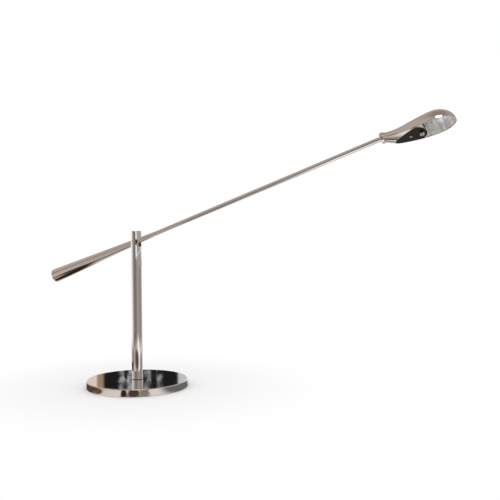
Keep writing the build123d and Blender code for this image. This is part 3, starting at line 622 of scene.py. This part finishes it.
def pressed_felt(bench):
    place = object_place(bench)
    stretch = (2200, 700, 700)
    fibres = bench.noise(bench.moved(place, scale=stretch), 1.0, 4.0)
    crossed = bench.noise(bench.moved(place, angles=(0, 0, 55), scale=stretch), 1.0, 4.0)
    mat = fibres.maths("MAXIMUM", fibres, crossed)
    tone = bench.mix(bench.ramp(mat, 0.4, 0.75), rgb("161917"), rgb("3b413c"))
    return principled(bench, Base_Color=tone, Roughness=0.97, Sheen_Weight=0.4, Sheen_Roughness=0.6,
                      Normal=bump(bench, mat, 1.0, 0.0004))


def clear_quartz(bench):
    ripples = bench.noise(object_place(bench), 180.0, 1.0)
    return principled(bench, Base_Color=WHITE, Roughness=0.02, IOR=1.46, Transmission_Weight=1.0,
                      Normal=bump(bench, ripples, 0.15, 0.0001))


finish("black_enamel", skin("060607", "100f12", 0.28, 900.0, 0.00002, Specular_IOR_Level=0.25))
finish("nylon", skin("191919", "232322", 0.42, 1200.0, 0.00002))
finish("rubber", skin("161616", "2b2a28", 0.72, 700.0, 0.00005, patch_scale=200.0))
finish("wire_insulation", skin("d3d5d8", "e3e4e6", 0.40, 900.0, 0.00001))
finish("ceramic", glazed_ceramic)
finish("felt", pressed_felt)
finish("bulb_glass", clear_quartz)
left_out = sorted(set(slot_of) - set(dressed))
print(len(bpy.data.materials), "materials, pieces without a finish:", left_out)

# %% [markdown]
# ## The knurled thumb screw
# One screw under the hood is turned by hand when the bulb's holder comes out, so its head is
# knurled: rows of fine ridges that fingers grip. The CAD model keeps it a plain cylinder. Here
# the same cylinder gets its side faces inset and pushed out one by one, which leaves a groove
# between each two ridges, and its shank keeps the CAD size so that it still fills its hole.

# %% Cut the knurled head
HEAD_ROLL = 16.0           # degrees that the mouth leans towards the camera
head_frame = (Matrix.Translation((0, 0, PIVOT_HEIGHT)) @ turn(-ARM_TILT, "Y")
              @ Matrix.Translation((NECK_DISTANCE, 0, 0)) @ turn(-HEAD_ROLL, "X"))


def stands_for(made, node, body, slot):
    """Lets a new piece take a CAD node's place, body and finish."""
    made.data.materials.append(bpy.data.materials[slot])
    made.data.shade_smooth()
    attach(made, body)
    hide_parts(node)
    low, high = (Vector(corner) * 1000 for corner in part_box(node))          # in mm
    print(made.name, "replaces", node, "which spans", [round(v, 1) for v in high - low], "mm, with",
          [round(v * 1000, 1) for v in made.dimensions], "mm")


def bar(mesh_builder, radius, start, end, segments=24):
    """Closed upright cylinder between two heights. Returns its faces."""
    shift = Matrix.Translation((0, 0, (start + end) / 2))
    made = bmesh.ops.create_cone(mesh_builder, cap_ends=True, segments=segments, radius1=radius,
                                 radius2=radius, depth=end - start, matrix=shift)
    return list({face for vert in made["verts"] for face in vert.link_faces})


def soften(mesh_builder, faces, width):
    """Bevels the edges round some faces."""
    edges = list({edge for face in faces for edge in face.edges})
    bmesh.ops.bevel(mesh_builder, geom=edges, offset=width, offset_type="OFFSET", segments=3,
                    profile=0.5, affect="EDGES", material=-1)


PLATE_FACE = -0.0176       # underside of the black plate, below the arm's axis
KNOB_ALONG = 0.0695        # from the start of the head
KNOB_HEIGHT = 0.0057
KNOB_RADIUS = 0.0040
KNOB_ROUND = 0.0006        # its softened ends
KNURL = 0.00022            # depth of the grooves
KNURL_EDGE = 0.00009       # half of a groove's width
DIMPLE_RIM = 0.0009
DIMPLE_DEPTH = 0.0003
SHANK_RADIUS = 0.00125
SHANK_END = -0.0106        # in the lamp holder
OVERLAP = 0.0001           # how far a shank starts inside its head

knob = bmesh.new()
faces = bar(knob, KNOB_RADIUS - KNURL, PLATE_FACE - KNOB_HEIGHT, PLATE_FACE, segments=40)
soften(knob, [face for face in faces if abs(face.normal.z) > 0.5], KNOB_ROUND)
sides = [face for face in knob.faces if abs(face.normal.z) < 0.1]
bmesh.ops.inset_individual(knob, faces=sides, thickness=KNURL_EDGE, depth=KNURL)
end = [face for face in knob.faces if face.normal.z < -0.9 and len(face.verts) > 30]
bmesh.ops.inset_individual(knob, faces=end, thickness=DIMPLE_RIM, depth=0)
bmesh.ops.inset_individual(knob, faces=end, thickness=DIMPLE_DEPTH, depth=-DIMPLE_DEPTH)
bar(knob, SHANK_RADIUS, PLATE_FACE - 2 * OVERLAP, SHANK_END)
bmesh.ops.translate(knob, verts=knob.verts, vec=(KNOB_ALONG, 0, 0))
bmesh.ops.transform(knob, matrix=head_frame, verts=knob.verts)
stands_for(object_from("thumb_screw_knurled", knob), "thumb_screw", "head", "chrome")

# %% [markdown]
# ## The slotted screw
# The screw beside it holds the plate to the strap. A pan head is a short cylinder with its
# lower edge rounded. Its slot is cut by two bisecting planes, and the strip between them is
# inset and sunk.

# %% Cut the slotted head
PAN_ALONG = 0.0505         # from the start of the head
PAN_RADIUS = 0.0025
PAN_HEIGHT = 0.0012
PAN_ROUND = 0.0005
PAN_SHANK = 0.004          # above the plate's underside
SLOT_HALF = 0.0003
SLOT_DEPTH = 0.0006
SLOT_EDGE = 0.00002        # each inset's width, so that the slot's edges stay sharp


def cut_across(mesh_builder, point, normal):
    """Adds edges where a plane meets the mesh."""
    everything = mesh_builder.verts[:] + mesh_builder.edges[:] + mesh_builder.faces[:]
    bmesh.ops.bisect_plane(mesh_builder, geom=everything, dist=1e-7, plane_co=point,
                           plane_no=normal)


screw = bmesh.new()
faces = bar(screw, PAN_RADIUS, PLATE_FACE - PAN_HEIGHT, PLATE_FACE, segments=48)
soften(screw, [face for face in faces if face.normal.z < -0.5], PAN_ROUND)
for side in (-1, 1):
    cut_across(screw, (0, side * SLOT_HALF, 0), (0, 1, 0))
strip = [face for face in screw.faces
         if face.normal.z < -0.9 and abs(face.calc_center_median().y) < SLOT_HALF / 2]
bmesh.ops.inset_region(screw, faces=strip, thickness=SLOT_EDGE, depth=0)
bmesh.ops.inset_region(screw, faces=strip, thickness=SLOT_EDGE, depth=-SLOT_DEPTH)
bar(screw, SHANK_RADIUS, PLATE_FACE - OVERLAP, PLATE_FACE + PAN_SHANK)
bmesh.ops.translate(screw, verts=screw.verts, vec=(PAN_ALONG, 0, 0))
bmesh.ops.transform(screw, matrix=head_frame, verts=screw.verts)
stands_for(object_from("strap_screw_slotted", screw), "strap_screw", "head", "zinc_steel")

# %% [markdown]
# ## The filament
# The light comes from a coil of fine tungsten wire across the bulb. A small ring of the wire is
# spun about the coil's axis and moved a little sideways at each step, which winds it into a
# helix. Two stiff wires carry it from the pinched end of the glass.

# %% Wind the filament
COIL_CENTRE = Vector((0.08995, 0, -0.008))     # from the start of the head, on the arm's axis
COIL_RADIUS = 0.00062
COIL_WIRE = 0.00017
COIL_TURNS = 6
COIL_STEPS = 14            # in each turn
COIL_REACH = 0.00225       # from the middle to each end
STIFF_WIRE = 0.00022
INNER_END = 0.08095        # inside face of the pinched end

coil = bmesh.new()
start = Matrix.Translation(COIL_CENTRE + Vector((-COIL_RADIUS, -COIL_REACH, 0)))
bmesh.ops.create_circle(coil, segments=6, radius=COIL_WIRE, matrix=start)
bmesh.ops.spin(coil, geom=coil.verts[:] + coil.edges[:], cent=COIL_CENTRE, axis=(0, 1, 0),
               dvec=(0, 2 * COIL_REACH / (COIL_TURNS * COIL_STEPS), 0),
               angle=2 * math.pi * COIL_TURNS, steps=COIL_TURNS * COIL_STEPS)
bmesh.ops.holes_fill(coil, edges=[edge for edge in coil.edges if edge.is_boundary])
bmesh.ops.recalc_face_normals(coil, faces=coil.faces)
for side in (-1, 1):
    stiff = bar(coil, STIFF_WIRE, INNER_END, COIL_CENTRE.x - COIL_RADIUS, segments=10)
    verts = list({vert for face in stiff for vert in face.verts})
    beside = Matrix.Translation((0, side * COIL_REACH, COIL_CENTRE.z))
    bmesh.ops.transform(coil, verts=verts, matrix=beside @ turn(90, "Y"))
bmesh.ops.transform(coil, matrix=head_frame, verts=coil.verts)
stands_for(object_from("filament_coil", coil), "filament", "head", "bulb_metal")

# %% [markdown]
# ## The wires across the tilting joint
# Two thin wires cross the slot of the fork, from its floor into the arm. They are the only
# pieces that bend when the arm tilts. The CAD model's wires are copied and cut into short
# rings.

# %% Cut the slack wires into rings
WIRE_FOOT = Vector((0, 0, 0.231))          # where they come up from the post
WIRE_TOP = Vector((0.0112, 0, 0.2825))     # where they enter the rubber sleeve
RINGS = 40

slack = bmesh.new()
slack.from_mesh(nodes["pivot_lead"].data)
bmesh.ops.remove_doubles(slack, verts=slack.verts, dist=1e-6)
for step in range(1, RINGS):
    cut_across(slack, WIRE_FOOT.lerp(WIRE_TOP, step / RINGS), (0, 0, 1))
wires = object_from("pivot_lead_flexing", slack)
wires.data.materials.append(bpy.data.materials["wire_insulation"])
wires.data.shade_smooth()
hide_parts("pivot_lead")
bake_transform(wires)
print("slack wires have", len(wires.data.vertices), "points")
